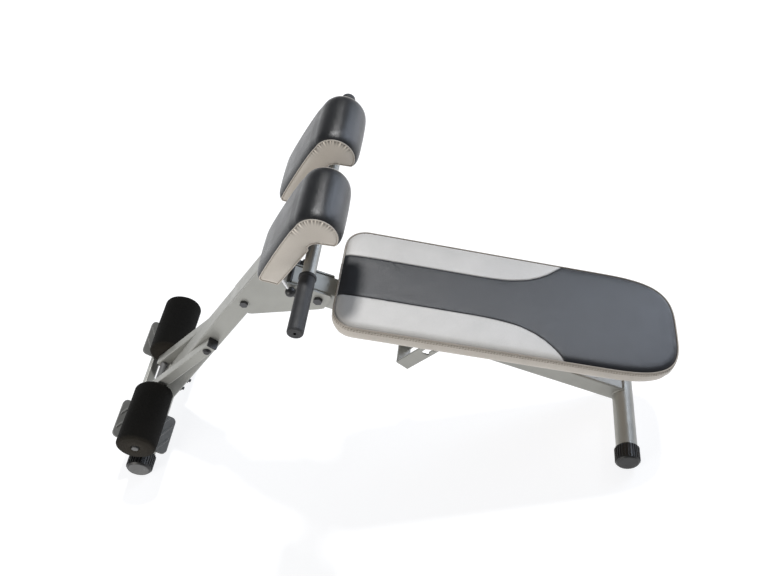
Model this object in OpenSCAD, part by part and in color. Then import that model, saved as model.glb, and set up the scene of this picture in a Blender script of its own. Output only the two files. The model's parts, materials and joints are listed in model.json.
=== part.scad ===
// Folding decline sit up bench with split thigh pads, swinging foam rollers,
// foot plates, and a tilting padded board on a two-legged folding frame.
// Units are millimetres. +Z is up, +X runs from the foot end to the head end,
// Y is the width. The origin is on the floor under the middle of the object.

/* [Feet] */
// distance between the front and rear floor tubes, centre to centre
wheelbase = 1147; // [1000:1:1300]
// length of each floor tube over its end caps
foot_len = 420; // [340:1:520]
// outer diameter of the floor tubes
foot_d = 50.8; // [38:0.1:64]
// outer diameter of the ribbed rubber caps
cap_d = 60; // [46:0.5:74]
// length of tube covered by each cap
cap_len = 40; // [25:1:60]
// ribs moulded round each cap
cap_ribs = 28; // [12:1:48]

/* [Front post] */
// slope of the front post above the floor, in degrees
post_slope = 50.5; // [40:0.1:65]
// width of the post tube
post_w = 52; // [40:1:70]
// depth of the post tube
post_d = 46; // [35:1:70]
// distance from the front floor tube to the top of the post
post_len = 668; // [560:1:760]
// wall thickness of the steel tubes
wall = 2; // [1.2:0.1:3]

/* [Long bench tube] */
// slope of the long tube below level, in degrees
tube_slope = 29.9; // [20:0.1:38]
// width of the long tube
tube_w = 50; // [40:1:60]
// depth of the long tube
tube_d = 48; // [35:1:60]
// distance from the rear floor tube to the fold pivot, along the long tube
fold_reach = 780; // [700:1:860]
// length of tube beyond the fold pivot
tube_tail = 68; // [50:1:90]

/* [Rollers] */
// foam roller diameter
roller_d = 88; // [70:1:120]
// foam roller length
roller_len = 158; // [120:1:220]
// gap between the two rollers
roller_gap = 106; // [100:1:140]
// distance from the arm pivot to the roller axle
arm_len = 222; // [180:1:280]
// slope of the arms, in degrees
arm_slope = 41.4; // [35:0.1:50]
// side of the square arm tube
arm_side = 24; // [18:1:32]
// distance of the arm pivot up the post
arm_pivot_s = 306.5; // [260:0.5:360]
// roller axle diameter
axle_d = 15; // [12:0.5:18]

/* [Foot plates] */
// length of a foot plate down its slope
plate_len = 134; // [100:1:180]
// width of a foot plate
plate_w = 99; // [70:1:120]
// slope of the foot plates, in degrees
plate_slope = 43.3; // [30:0.1:55]

/* [Thigh support] */
// distance of the handle bar up the post line
handle_s = 845; // [800:1:900]
// overall width of the handle bar over its grips
handle_len = 670; // [480:1:720]
// handle bar diameter
handle_d = 25.4; // [22:0.1:32]
// grip length
grip_len = 133; // [90:1:160]
// width of one thigh pad
thigh_w = 142; // [110:1:170]
// gap between the two thigh pads
thigh_gap = 76; // [60:1:120]
// thickness of the thigh pad at its straight part
thigh_t = 48; // [30:1:60]

/* [Bench pad] */
// length of the bench pad
pad_len = 775; // [640:1:900]
// width of the bench pad
pad_w = 280; // [230:1:330]
// thickness of the cushion at its crown
pad_t = 47; // [36:1:70]
// slope of the bench pad below level, in degrees
pad_slope = 16.4; // [0:0.1:30]

/* [View] */
// node to draw, or all

/* [Hidden] */
$fn = 64;

axis_z = cap_d / 2 - 0.6;       // floor tube axis: the caps have a small flat under them
foot_half = foot_len / 2;
plate_h = 32;
plate_t = 5;
plate_t0 = -94;
plate_y0 = 69.5;
// furthest the foot plates reach ahead of the front floor tube (negative)
front_reach_x = plate_t0 * cos(plate_slope) + (plate_h - plate_t) * sin(plate_slope);
// furthest the bench pad reaches behind the front floor tube
pad_left = 511.6;
pad_reach_x = pad_left + pad_len * cos(pad_slope) + (pad_t - 8) * sin(pad_slope);
x_front = -(pad_reach_x + front_reach_x) / 2;
x_rear = x_front + wheelbase;

// post line: distance s up the post, h square to it, measured from a line
// that passes just above the front floor tube's axis
post_off = 6.5;
function post_x(s, h) = x_front + s * cos(post_slope) - (h + post_off) * sin(post_slope);
function post_z(s, h) = axis_z + s * sin(post_slope) + (h + post_off) * cos(post_slope);
module at_post(s, h = 0, y = 0) {
  translate([post_x(s, h), y, post_z(s, h)]) rotate([0, -post_slope, 0]) children();
}

// long tube line: t along the tube from the fold pivot, towards the rear
fold_x = x_rear - fold_reach * cos(tube_slope);
fold_z = axis_z + fold_reach * sin(tube_slope);
function tube_x(t, h) = fold_x + t * cos(tube_slope) + h * sin(tube_slope);
function tube_z(t, h) = fold_z - t * sin(tube_slope) + h * cos(tube_slope);
module at_tube(t, h = 0, y = 0) {
  translate([tube_x(t, h), y, tube_z(t, h)]) rotate([0, tube_slope, 0]) children();
}

// foot plate frame: t down the slope, h up from the front floor tube's axis
function plate_x(t, h) = x_front + t * cos(plate_slope) + h * sin(plate_slope);
function plate_z(t, h) = axis_z - t * sin(plate_slope) + h * cos(plate_slope);
module at_plate(t, h = 0, y = 0) {
  translate([plate_x(t, h), y, plate_z(t, h)]) rotate([0, plate_slope, 0]) children();
}

// arm pivot and axle
arm_px = post_x(arm_pivot_s, 0);
arm_pz = post_z(arm_pivot_s, 0);
axle_x = arm_px - arm_len * cos(arm_slope);
axle_z = arm_pz - arm_len * sin(arm_slope);
arm_y0 = post_w / 2 + 1;
pivot_d = 12;
fit_gap = 0.05;                 // radial running clearance of every pivot

// gusset plates and hardware
gusset_t = 4;
gusset_y = post_w / 2;

// fold knob position on the long tube
knob_t = -48;
knob_bolt_d = 10;
knob_r = abs(knob_t);
knob_a = 180 - tube_slope;
gusset_bolt_s = [490, 603];

// bench pad frame: p along the pad from its left end, q square to it,
// zero at the underside of the cushion's board
pad_x0 = x_front + pad_left;
pad_z0 = axis_z + 398.6;
function pad_x(p, q) = pad_x0 + p * cos(pad_slope) + q * sin(pad_slope);
function pad_z(p, q) = pad_z0 - p * sin(pad_slope) + q * cos(pad_slope);
module at_pad(p, q = 0, y = 0) {
  translate([pad_x(p, q), y, pad_z(p, q)]) rotate([0, pad_slope, 0]) children();
}
board_t = 10;

// backrest pivot in the long tube
hinge_t = 54.5;
hinge_x = tube_x(hinge_t, 0);
hinge_z = tube_z(hinge_t, 0);

// prop: a slotted U strap hung from a pivot under the pad, over a pin in the tube
prop_slope = 39;
prop_pin_t = 304.6;
prop_pin_x = tube_x(prop_pin_t, 0);
prop_pin_z = tube_z(prop_pin_t, 0);
prop_reach = 94;
prop_top_x = prop_pin_x + prop_reach * cos(prop_slope);
prop_top_z = prop_pin_z + prop_reach * sin(prop_slope);
prop_tail = 144;
prop_w = 36;
prop_t = 4;
prop_y = tube_w / 2 + 1.5;

steel_grey = [0.60, 0.61, 0.59];
dark_grey = [0.30, 0.31, 0.32];
black = [0.07, 0.07, 0.075];
foam_black = [0.06, 0.06, 0.06];
vinyl_black = [0.10, 0.10, 0.105];
vinyl_grey = [0.70, 0.68, 0.66];
zinc = [0.75, 0.76, 0.77];
ply = [0.45, 0.33, 0.20];

// ---------- helpers ----------
module along_y(x, z, y0, y1, d) {
  translate([x, y1, z]) rotate([90, 0, 0]) cylinder(h = y1 - y0, d = d);
}
module box(x0, x1, y0, y1, z0, z1) {
  translate([x0, y0, z0]) cube([x1 - x0, y1 - y0, z1 - z0]);
}
// rectangular tube along local X from a to b, with rounded outer corners
module rect_tube(a, b, w, d, t, r = 4) {
  translate([a, 0, 0]) rotate([90, 0, 90]) linear_extrude(b - a)
    difference() {
      round_rect(w, d, r);
      round_rect(w - 2 * t, d - 2 * t, max(r - t, 1));
    }
}
module rect_bar(a, b, w, d, r = 3) {
  translate([a, 0, 0]) rotate([90, 0, 90]) linear_extrude(b - a) round_rect(w, d, r);
}
module round_rect(w, d, r) {
  union() {
    square([w - 2 * r, d], center = true);
    square([w, d - 2 * r], center = true);
    for (i = [-1, 1], j = [-1, 1])
      translate([i * (w / 2 - r), j * (d / 2 - r)]) circle(r, $fn = 32);
  }
}
// hexagon head or nut with its axis along Y
module hex_y(x, z, y0, y1, af) {
  translate([x, y1, z]) rotate([90, 0, 0]) cylinder(h = y1 - y0, d = af / cos(30), $fn = 6);
}
// through bolt along Y, head on the near side and nut on the far side
module bolt_y(x, z, half, d, af, head) {
  along_y(x, z, -half, half, d);
  hex_y(x, z, -half - head, -half, af);
  hex_y(x, z, half, half + head, af);
}
module side(y) {
  if (y < 0) mirror([0, 1, 0]) children();
  else children();
}

// ---------- feet ----------
module floor_tube(x) {
  difference() {
    along_y(x, axis_z, -foot_half + 4, foot_half - 4, foot_d);
    along_y(x, axis_z, -foot_half, foot_half, foot_d - 2 * wall);
  }
}
// ribbed rubber cap for the +Y end of a floor tube at x
module cap(x) {
  rib_r = cap_d / 2;
  union() {
  difference() {
    union() {
      translate([x, foot_half, axis_z]) rotate([90, 0, 0]) rotate_extrude($fn = 72)
        polygon([[0, 0], [rib_r - 5, 0], [rib_r - 2, 3], [rib_r - 2, cap_len - 2],
                 [rib_r - 4, cap_len], [0, cap_len]]);
      translate([x, foot_half - 5, axis_z]) rotate([90, 0, 0]) linear_extrude(cap_len - 8)
        for (i = [0:cap_ribs - 1]) rotate(i * 360 / cap_ribs)
          polygon([[rib_r - 3, -1.6], [rib_r, -0.9], [rib_r, 0.9], [rib_r - 3, 1.6]]);
    }
    along_y(x, axis_z, foot_half - cap_len - 1, foot_half - 4, foot_d);
    box(x - cap_d, x + cap_d, foot_half - cap_len - 2, foot_half + 1, -10, 0);
  }
  // flat pad under the ribs, so the cap stands on the floor
  difference() {
    box(x - 9, x + 9, foot_half - cap_len + 3, foot_half - 5, 0, 6);
    along_y(x, axis_z, foot_half - cap_len, foot_half, foot_d + 1);
  }
  }
}
module front_stabilizer() { color(steel_grey) floor_tube(x_front); }
module front_cap_near() { color(black) side(-1) cap(x_front); }
module front_cap_far() { color(black) cap(x_front); }
module rear_stabilizer() { color(steel_grey) floor_tube(x_rear); }
module rear_cap_near() { color(black) side(-1) cap(x_rear); }
module rear_cap_far() { color(black) cap(x_rear); }

// ---------- front post ----------
foot_bolt_s = [57, 98];
clamp_s = 638;
module post() {
  color(steel_grey) difference() {
    at_post(0) rect_tube(-20, post_len, post_w, post_d, wall);
    along_y(x_front, axis_z, -60, 60, foot_d);
    box(x_front - 80, x_front + 200, -60, 60, -40, axis_z - foot_d / 2 - 0.01);
    at_post(0) box(-40, 8, -60, 60, -60, 2 - post_off);
    along_y(arm_px, arm_pz, -60, 60, pivot_d);
    for (s = foot_bolt_s) at_post(s) translate([0, 0, -40]) cylinder(h = 80, d = 8);
    for (s = gusset_bolt_s) along_y(post_x(s, 0), post_z(s, 0), -60, 60, 10);
    along_y(post_x(clamp_s, 0), post_z(clamp_s, 0), -60, 0, 8 + 2 * fit_gap);
  }
}
// plastic sleeve in the mouth of the post
module post_bush() {
  color(black) at_post(0) difference() {
    union() {
      rect_bar(post_len, post_len + 5, post_w, post_d, 4);
      rect_bar(post_len - 14, post_len + 1, post_w - 2 * wall - 0.2, post_d - 2 * wall - 0.2, 2);
    }
    rect_bar(post_len - 20, post_len + 10, inner_w + 0.4, inner_d + 0.4, 2.2);
  }
}

// ---------- gusset plates ----------
// slope of the path the knob bolt takes as the long tube folds
module knob_notch() {
  for (k = [0:8]) {
    a = k * 5;
    hx = fold_x + knob_r * cos(knob_a - a);
    hz = fold_z + knob_r * sin(knob_a - a);
    translate([hx, hz]) circle(d = knob_bolt_d + 2, $fn = 32);
  }
}
module gusset_outline() {
  difference() {
    polygon([
      [post_x(462, 22), post_z(462, 22)],
      [post_x(464, -23), post_z(464, -23)],
      [post_x(468, -30), post_z(468, -30)],
      [tube_x(12, -30), tube_z(12, -30)],
      [tube_x(21, -22), tube_z(21, -22)],
      [tube_x(25, 14), tube_z(25, 14)],
      [tube_x(20, 24), tube_z(20, 24)],
      [tube_x(-52, 24), tube_z(-52, 24)],
      [post_x(606, -36), post_z(606, -36)],
      [post_x(614, -26), post_z(614, -26)],
      [post_x(614, 22), post_z(614, 22)]]);
    translate([fold_x, fold_z]) circle(d = pivot_d);
    for (s = gusset_bolt_s) translate([post_x(s, 0), post_z(s, 0)]) circle(d = 10);
    knob_notch();
  }
}
module gusset(y0) {
  translate([0, y0 + gusset_t, 0]) rotate([90, 0, 0]) linear_extrude(gusset_t) gusset_outline();
}
module gusset_near() { color(steel_grey) gusset(-gusset_y - gusset_t); }
module gusset_far() { color(steel_grey) gusset(gusset_y); }
module gusset_bolts() {
  color(dark_grey) for (s = gusset_bolt_s, i = [-1, 1]) side(i) {
    along_y(post_x(s, 0), post_z(s, 0), post_w / 2 - wall - 0.6, gusset_y + gusset_t, 10);
    hex_y(post_x(s, 0), post_z(s, 0), gusset_y + gusset_t, gusset_y + gusset_t + 6, 16);
  }
}
module fold_pivot_bolt() {
  color(dark_grey) bolt_y(fold_x, fold_z, gusset_y + gusset_t, pivot_d, 18, 7);
}
module arm_pivot_bolt() {
  color(black) {
    along_y(arm_px, arm_pz, -arm_y0 - arm_side, arm_y0 + arm_side, pivot_d);
    translate([arm_px, -arm_y0 - arm_side - 0.4, arm_pz]) rotate([90, 0, 0]) cylinder(h = 5, d1 = 20, d2 = 13);
    translate([arm_px, arm_y0 + arm_side + 5.4, arm_pz]) rotate([90, 0, 0]) cylinder(h = 5, d1 = 13, d2 = 20);
    along_y(arm_px, arm_pz, -arm_y0 - arm_side - 0.5, arm_y0 + arm_side + 0.5, pivot_d);
  }
}

// ---------- footrest ----------
bar_side = 20;
bar_t = -52;
bar_h = plate_h - plate_t - bar_side / 2;
module footrest_bracket() {
  color(steel_grey) difference() {
    union() {
      at_post(0) box(6, 112, -20, 20, post_d / 2, post_d / 2 + 3);
      at_post(0) box(12, 30, -15, 15, post_d / 2, post_d / 2 + 22);
      at_plate(bar_t, bar_h) rotate([0, 0, 90]) rect_bar(-158, 158, bar_side, bar_side, 3);
    }
    for (s = foot_bolt_s) at_post(s) translate([0, 0, 10]) cylinder(h = 60, d = 8);
  }
}
module footrest_bolts() {
  color(black) for (s = foot_bolt_s) at_post(s) {
    translate([0, 0, -post_d / 2 - 13]) cylinder(h = post_d + 16, d = 8);
    translate([0, 0, -post_d / 2 - 8]) cylinder(h = 8, d = 13 / cos(30), $fn = 6);
  }
}
// one ridged foot plate on the +Y side
module foot_plate(y0) {
  r = 12;
  difference() {
    union() {
      at_plate(0, plate_h - plate_t) translate([plate_t0 + plate_len / 2, y0 + plate_w / 2, 0])
        linear_extrude(plate_t) round_rect(plate_len, plate_w, r);
      at_plate(0, plate_h - 0.01) intersection() {
        translate([plate_t0 + plate_len / 2, y0 + plate_w / 2, 0])
          linear_extrude(3) round_rect(plate_len - 8, plate_w - 8, r - 4);
        for (i = [-4:4]) translate([plate_t0 + plate_len / 2 + i * 23, y0 + plate_w / 2, 0])
          rotate([0, 0, 32]) translate([-1.5, -plate_w, 0]) cube([3, 2 * plate_w, 1.6]);
      }
    }
    for (j = screw_y) at_plate(bar_t, 0, j) {
      cylinder(h = 60, d = 5.2);
      translate([0, 0, plate_h]) cylinder(h = 10, d = 11.4);
    }
  }
}
screw_y = [92, 146];
module foot_plate_far() { color(dark_grey) foot_plate(plate_y0); }
module foot_plate_near() { color(dark_grey) side(-1) foot_plate(plate_y0); }
module foot_plate_screws() {
  color(black) for (i = [-1, 1], j = screw_y) at_plate(bar_t, plate_h, i * j) {
    cylinder(h = 3, d1 = 11, d2 = 7);
    translate([0, 0, -plate_t]) cylinder(h = plate_t, d = 5);
  }
}

// ---------- roller carriage ----------
arm_tail = 17;
arm_nose = 15;
module arm(y0) {
  difference() {
    translate([arm_px, y0 + arm_side / 2, arm_pz]) rotate([0, 180 - arm_slope, 0])
      rect_tube(-arm_tail, arm_len + arm_nose, arm_side, arm_side, wall, 3);
    along_y(arm_px, arm_pz, y0 - 1, y0 + arm_side + 1, pivot_d + 2 * fit_gap);
    along_y(axle_x, axle_z, y0 - 1, y0 + arm_side + 1, axle_d);
  }
}
module arm_far() { color(steel_grey) arm(arm_y0); }
module arm_near() { color(steel_grey) arm(-arm_y0 - arm_side); }
module arm_plugs() {
  color(black) for (y = [-1, 1], e = [-1, 1])
    translate([arm_px, y * (arm_y0 + arm_side / 2), arm_pz]) rotate([0, 180 - arm_slope, 0])
      rect_bar(e < 0 ? -arm_tail - 3 : arm_len + arm_nose,
               e < 0 ? -arm_tail : arm_len + arm_nose + 3, arm_side, arm_side, 3);
}
module roller_axle() {
  color(zinc) {
    half = roller_gap / 2 + roller_len;
    along_y(axle_x, axle_z, -half - 2, half + 2, axle_d);
  }
}
module roller(y0) {
  r = roller_d / 2;
  c = 6;
  bore = axle_d / 2 + 0.08;
  translate([axle_x, y0 + roller_len, axle_z]) rotate([90, 0, 0]) rotate_extrude($fn = 96)
    polygon(concat([[bore, 0]],
      [for (a = [0:15:90]) [r - c + c * sin(a), c - c * cos(a)]],
      [for (a = [0:15:90]) [r - c + c * cos(a), roller_len - c + c * sin(a)]],
      [[bore, roller_len]]));
}
module roller_far() { color(foam_black) roller(roller_gap / 2); }
module roller_near() { color(foam_black) roller(-roller_gap / 2 - roller_len); }

// ---------- thigh support ----------
inner_w = 44;
inner_d = 38;
inner_s0 = 505;
inner_s1 = 866;
rail_s = 790;
module inner_tube() {
  color(steel_grey) difference() {
    at_post(0) rect_tube(inner_s0, inner_s1, inner_w, inner_d, wall, 3);
    along_y(post_x(handle_s, 0), post_z(handle_s, 0), -60, 60, handle_d);
  }
}
module inner_tube_plug() {
  color(black) at_post(0) {
    rect_bar(inner_s1, inner_s1 + 4, inner_w, inner_d, 3);
    rect_bar(inner_s1 - 5, inner_s1 + 1, inner_w - 2 * wall - 0.2, inner_d - 2 * wall - 0.2, 1);
  }
}
module handle_bar() {
  color(steel_grey) difference() {
    along_y(post_x(handle_s, 0), post_z(handle_s, 0), -handle_len / 2 + 4, handle_len / 2 - 4, handle_d);
    along_y(post_x(handle_s, 0), post_z(handle_s, 0), -handle_len, handle_len, handle_d - 2 * wall);
  }
}
// rubber grip for the +Y end of the handle bar
module grip() {
  r = 15;
  x = post_x(handle_s, 0);
  z = post_z(handle_s, 0);
  difference() {
    translate([x, handle_len / 2, z]) rotate([90, 0, 0]) rotate_extrude($fn = 64)
      polygon([[0, 0], [r - 3, 0], [r - 0.8, 1], [r, 3.5], [r, grip_len - 8],
               [r + 1.5, grip_len - 6], [r + 1.5, grip_len - 1], [r, grip_len], [0, grip_len]]);
    along_y(x, z, handle_len / 2 - grip_len - 1, handle_len / 2 - 4, handle_d);
    along_y(x, z, handle_len / 2 - 5, handle_len / 2 + 1, 6);
  }
}
module grip_far() { color(dark_grey) grip(); }
module grip_near() { color(dark_grey) side(-1) grip(); }

// flat cross rails that carry the two pad boards
rail_w = 30;
rail_t = 4;
module pad_rails() {
  color(steel_grey) {
    half = thigh_gap / 2 + thigh_w - 22;
    at_post(rail_s) box(-rail_w / 2, rail_w / 2, -half, half, inner_d / 2, inner_d / 2 + rail_t);
    difference() {
      at_post(handle_s) box(-rail_w / 2, rail_w / 2, -half, half, inner_d / 2, inner_d / 2 + rail_t);
      along_y(post_x(handle_s, 0), post_z(handle_s, 0), -handle_len, handle_len, handle_d);
    }
    for (y = [-1, 1]) difference() {
      at_post(handle_s) box(-3, 3, y * 130 - 12, y * 130 + 12, 8, inner_d / 2 + 1);
      along_y(post_x(handle_s, 0), post_z(handle_s, 0), -handle_len, handle_len, handle_d);
    }
  }
}
board_h0 = inner_d / 2 + rail_t;
board_h1 = board_h0 + 8;
board_s0 = 770;
board_s1 = 876;
module thigh_board(y0) {
  at_post(0) box(board_s0, board_s1, y0 + 8, y0 + thigh_w - 8, board_h0, board_h1);
}
module thigh_board_far() { color(ply) thigh_board(thigh_gap / 2); }
module thigh_board_near() { color(ply) thigh_board(-thigh_gap / 2 - thigh_w); }

// Thigh pad outline in the post frame: a straight pad that thickens upwards
// and curls over a wide rounded nose.
nose_s = 929;
nose_h = 35;
nose_r = 43;
pad_foot_s = 751;
pad_foot_h = board_h0 + 0.3;
function arc(cs, ch, r, a0, a1, n) =
  [for (i = [0:n]) let(a = a0 + (a1 - a0) * i / n) [cs + r * cos(a), ch + r * sin(a)]];
function thigh_outline() = concat(
  arc(pad_foot_s + 14, pad_foot_h + 9, 9, 270, 190, 4),
  arc(pad_foot_s + 11, pad_foot_h + thigh_t - 16, 13, 175, 100, 5),
  [for (i = [1:6]) [pad_foot_s + 13 + 155 * i / 7,
                    pad_foot_h + thigh_t - 2.3 + 10 * (1 - pow(1 - i / 7, 1.7))]],
  arc(nose_s, nose_h, nose_r, 95, 0, 10),
  arc(nose_s - 8, nose_h, nose_r + 8, -9, -81, 8),
  arc(nose_s - 4, nose_h - 41, 9, -95, -150, 3),
  arc(nose_s - 37, pad_foot_h - 15, 15, 12, 90, 5));
module thigh_pad(y0) {
  at_post(0) difference() {
    translate([0, y0 + thigh_w, 0]) rotate([90, 0, 0])
      linear_extrude(thigh_w) polygon(thigh_outline());
    box(board_s0 - 0.3, board_s1 + 0.3, y0 + 7.7, y0 + thigh_w - 7.7, 0, board_h1 + 0.3);
  }
}
module thigh_pad_far() { color(vinyl_black) thigh_pad(thigh_gap / 2); }
module thigh_pad_near() { color(vinyl_black) thigh_pad(-thigh_gap / 2 - thigh_w); }

// clamp lever: a screw through the near wall of the post, with a bent handle
lever_y = gusset_y + gusset_t + 4.3;
lever_out = 10;
lever_run = 22;
lever_drop = 63;
lever_d = 6.5;
clamp_x = post_x(clamp_s, 0);
clamp_z = post_z(clamp_s, 0);
module rod(p, q, d) {
  v = q - p;
  len = norm(v);
  translate(p) rotate([0, acos(v[2] / len), atan2(v[1], v[0])]) cylinder(h = len, d = d);
}
lever_top = [clamp_x, -lever_y, clamp_z];
lever_end = [clamp_x + lever_run, -lever_y - lever_out, clamp_z - lever_drop];
module clamp_lever() {
  color(zinc) union() {
    along_y(clamp_x, clamp_z, -lever_y, -inner_w / 2 - 0.3, 8);
    along_y(clamp_x, clamp_z, -gusset_y - 3.3, -gusset_y - 0.3, 16);
    translate(lever_top) sphere(d = 8.2, $fn = 32);
    rod(lever_top, lever_end, lever_d);
  }
}
module lever_ball() {
  color(black) difference() {
    translate(lever_end) sphere(d = 23, $fn = 48);
    rod(lever_top, lever_end, lever_d);
  }
}

// ---------- bench frame ----------
module long_tube() {
  color(steel_grey) difference() {
    at_tube(0) rect_tube(-tube_tail, fold_reach + 30, tube_w, tube_d, wall);
    along_y(x_rear, axis_z, -80, 80, foot_d);
    box(x_rear - 2, x_rear + 120, -80, 80, -80, 120);
    box(x_rear - 120, x_rear + 10, -80, 80, -80, axis_z - foot_d / 2 + 3);
    along_y(fold_x, fold_z, -60, 60, pivot_d + 2 * fit_gap);
    along_y(tube_x(knob_t, 0), tube_z(knob_t, 0), -60, 60, knob_bolt_d + 2 * fit_gap);
    along_y(hinge_x, hinge_z, -60, 60, pivot_d);
    along_y(prop_pin_x, prop_pin_z, -60, 60, 8);
  }
}
module long_tube_plug() {
  color(black) at_tube(0) {
    rect_bar(-tube_tail - 4, -tube_tail, tube_w, tube_d, 4);
    rect_bar(-tube_tail - 1, -tube_tail + 8, tube_w - 2 * wall - 0.2, tube_d - 2 * wall - 0.2, 2);
  }
}
module backrest_pivot_bolt() {
  color(dark_grey) {
    half = tube_w / 2 + 1 + bracket_t;
    along_y(hinge_x, hinge_z, -half - 0.4, half + 0.4, pivot_d);
    hex_y(hinge_x, hinge_z, -half - 7.4, -half - 0.4, 18);
    hex_y(hinge_x, hinge_z, half + 0.4, half + 7.4, 18);
  }
}
module prop_pin() {
  color(zinc) {
    half = prop_y + prop_t;
    along_y(prop_pin_x, prop_pin_z, -half - 4, half + 4, 8);
    along_y(prop_pin_x, prop_pin_z, half + 1, half + 4, 18);
    along_y(prop_pin_x, prop_pin_z, -half - 4, -half - 1, 18);
  }
}
// star knob on the far side, with the bolt that seats in the gusset notches
module fold_knob() {
  kx = tube_x(knob_t, 0);
  kz = tube_z(knob_t, 0);
  y0 = gusset_y + gusset_t;
  color(black) {
    along_y(kx, kz, -y0 - 0.4, y0 + 5, knob_bolt_d);
    along_y(kx, kz, -y0 - 5.4, -y0 - 0.4, 18);
    along_y(kx, kz, y0 + 0.4, y0 + 6, 20);
    translate([kx, y0 + 22, kz]) rotate([90, 0, 0]) linear_extrude(16) {
      circle(d = 30);
      for (i = [0:5]) rotate(60 * i) translate([15, 0]) circle(d = 13, $fn = 32);
    }
  }
}

// ---------- backrest ----------
corner_l = 48;
corner_r = 64;
bracket_t = 4;
// plan of the bench pad: square shoulders at the left end, slightly wider
// towards the head, and a blunt rounded head end
wide_p = 576;
function half_w(p) = pad_w / 2 - 1 + (p < 300 ? 0 : 3 * pow((p - 300) / (wide_p - 300), 2));
function pad_plan(inset) =
  let(W = half_w(0) - inset, r = corner_l - inset, E = pad_len - wide_p - inset,
      V = half_w(wide_p) - inset)
  concat(
    [for (i = [0:8]) let(a = 180 - 90 * i / 8) [inset + r + r * cos(a), W - r + r * sin(a)]],
    [for (p = [330:41:535]) [p, half_w(p) - inset]],
    [for (i = [0:16]) let(u = sin(90 * i / 16))
      [wide_p + E * pow(u, 0.9), V * pow(1 - pow(pow(u, 0.9), 3.5), 1 / 3.5)]]);
module pad_shape(inset) {
  up = pad_plan(inset);
  n = len(up);
  polygon(concat(up, [for (i = [1:n - 1]) [up[n - 1 - i][0], -up[n - 1 - i][1]]]));
}
module bench_board() {
  color(ply) at_pad(0, 0) linear_extrude(board_t) pad_shape(12);
}
module bench_pad() {
  color(vinyl_grey) at_pad(0, 0) difference() {
    union() {
      linear_extrude(2.01) pad_shape(6);
      translate([0, 0, 2]) linear_extrude(4.01) pad_shape(3);
      translate([0, 0, 6]) linear_extrude(pad_t - 13) pad_shape(0);
      translate([0, 0, pad_t - 7.01]) linear_extrude(3.01) pad_shape(2);
      translate([0, 0, pad_t - 4.01]) linear_extrude(2.51) pad_shape(6);
      translate([0, 0, pad_t - 1.51]) linear_extrude(1.51) pad_shape(14);
    }
    translate([0, 0, -1]) linear_extrude(board_t + 1.3) pad_shape(11.7);
  }
}
// pair of angle brackets under the left end of the board, hung on the pivot bolt
module hinge_brackets() {
  leg_y = tube_w / 2 + 1;
  color(dark_grey) for (y = [-1, 1]) side(y) difference() {
    union() {
      at_pad(0, 0) box(-2, 96, leg_y + bracket_t + 1, 66, -bracket_t, 0);
      at_pad(0, 0) box(10, 96, leg_y, 66, -bracket_t, 0);
      intersection() {
        at_pad(0, 0) box(-40, 96, leg_y, leg_y + bracket_t, -90, -1);
        translate([0, 60, 0]) rotate([90, 0, 0]) linear_extrude(60) polygon([
          [pad_x(10, 0), pad_z(10, 0)], [pad_x(96, 0), pad_z(96, 0)],
          [pad_x(96, -12), pad_z(96, -12)],
          [hinge_x + 11, hinge_z - 6], [hinge_x + 5, hinge_z - 10.5],
          [hinge_x - 5, hinge_z - 10], [hinge_x - 10, hinge_z - 5], [hinge_x - 10.5, hinge_z + 4]]);
      }
    }
    along_y(hinge_x, hinge_z, 0, 90, pivot_d + 2 * fit_gap);
  }
}
// the prop's top pivot in the pad frame
prop_p = (prop_top_x - pad_x0) * cos(pad_slope) - (prop_top_z - pad_z0) * sin(pad_slope);
prop_q = -((prop_top_x - pad_x0) * sin(pad_slope) + (prop_top_z - pad_z0) * cos(pad_slope));
channel_y = 20;
module prop_channel() {
  color(dark_grey) difference() {
    union() {
      at_pad(0, 0) box(prop_p - 30, prop_p + 30, -channel_y - 4, channel_y + 4, -4, 0);
      for (y = [-channel_y - 4, channel_y]) intersection() {
        at_pad(0, 0) box(prop_p - 30, prop_p + 30, y, y + 4, -60, -1);
        union() {
          along_y(prop_top_x, prop_top_z, -60, 60, 22);
          at_pad(0, 0) box(prop_p - 20, prop_p + 20, -60, 60, -prop_q, 0);
        }
      }
    }
    along_y(prop_top_x, prop_top_z, -60, 60, 8);
  }
}
module prop_top_pin() {
  color(zinc) {
    half = prop_y + prop_t;
    along_y(prop_top_x, prop_top_z, -half - 3, half + 3, 8);
    along_y(prop_top_x, prop_top_z, half + 0.4, half + 3.4, 14);
    along_y(prop_top_x, prop_top_z, -half - 3.4, -half - 0.4, 14);
  }
}

// ---------- prop ----------
slot_w = 15;
prop_eye_d = 24;
module prop_strip_outline() {
  difference() {
    union() {
      circle(d = prop_eye_d);
      polygon([[0, prop_eye_d / 2], [0, -prop_eye_d / 2], [-24, -prop_w / 2], [-24, prop_w / 2]]);
      translate([-prop_reach - prop_tail, -prop_w / 2]) square([prop_reach + prop_tail - 23.9, prop_w]);
    }
    circle(d = 8 + 2 * fit_gap);
    translate([-prop_reach - 66, -slot_w / 2]) square([66, slot_w]);
    translate([-prop_reach, 0]) circle(d = slot_w);
    translate([-prop_reach - 66, 0]) circle(d = slot_w);
    for (i = [0:3]) translate([-prop_reach - 22 * i, -slot_w / 2]) circle(d = 9, $fn = 32);
  }
}
module prop_bracket() {
  color(steel_grey) translate([prop_top_x, 0, prop_top_z]) rotate([0, -prop_slope, 0]) {
    for (y = [-prop_y - prop_t, prop_y])
      translate([0, y + prop_t, 0]) rotate([90, 0, 0]) linear_extrude(prop_t) prop_strip_outline();
    box(-prop_reach - prop_tail, -prop_reach - prop_tail + prop_t, -prop_y - 0.01, prop_y + 0.01,
        -prop_w / 2, prop_w / 2);
  }
}

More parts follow.
